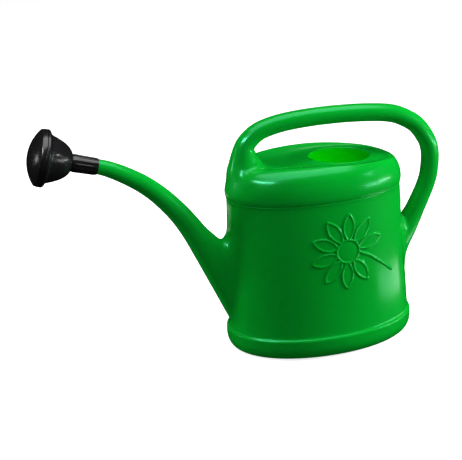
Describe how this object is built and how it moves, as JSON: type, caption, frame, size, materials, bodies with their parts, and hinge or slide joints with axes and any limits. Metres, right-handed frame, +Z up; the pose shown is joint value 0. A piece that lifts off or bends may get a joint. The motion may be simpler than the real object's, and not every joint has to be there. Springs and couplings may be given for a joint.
{
  "type": "watering can",
  "caption": "Oval moulded watering can with a long curved spout, a loop handle, an open filler mouth in a dished top and a pull-off rose with a clip-on perforated face.",
  "frame": {"origin": "on the floor, under the middle of the can's overall box", "axes": "+Z up, -X towards the spout and rose, +X towards the rear of the handle, the middle plane of the can is Y = 0"},
  "size_m": [0.6167, 0.1942, 0.3777],
  "materials": {
    "can_plastic": "satin blow-moulded polyethylene",
    "rose_plastic": "polished injection-moulded plastic"
  },
  "bodies": {
    "can": {"tank_base": "can_plastic", "tank_wall": "can_plastic", "tank_top": "can_plastic", "spout": "can_plastic", "handle": "can_plastic"},
    "rose_sleeve": {"rose_sleeve": "rose_plastic"},
    "rose_bell": {"rose_bell": "rose_plastic"},
    "rose_face": {"rose_face": "rose_plastic"}
  },
  "joints": [
    {"name": "rose_pull", "type": "slide", "parent": "can", "child": "rose_sleeve", "axis": [-0.957, 0, 0.29], "range_m": [0, 0.045]},
    {"name": "rose_turn", "type": "hinge", "parent": "rose_sleeve", "child": "rose_bell", "pos_m": [-0.21, 0, 0.3145], "axis": [-0.957, 0, 0.29], "continuous": true},
    {"name": "face_clip", "type": "slide", "parent": "rose_bell", "child": "rose_face", "axis": [-0.957, 0, 0.29], "range_m": [0, 0.02]}
  ]
}
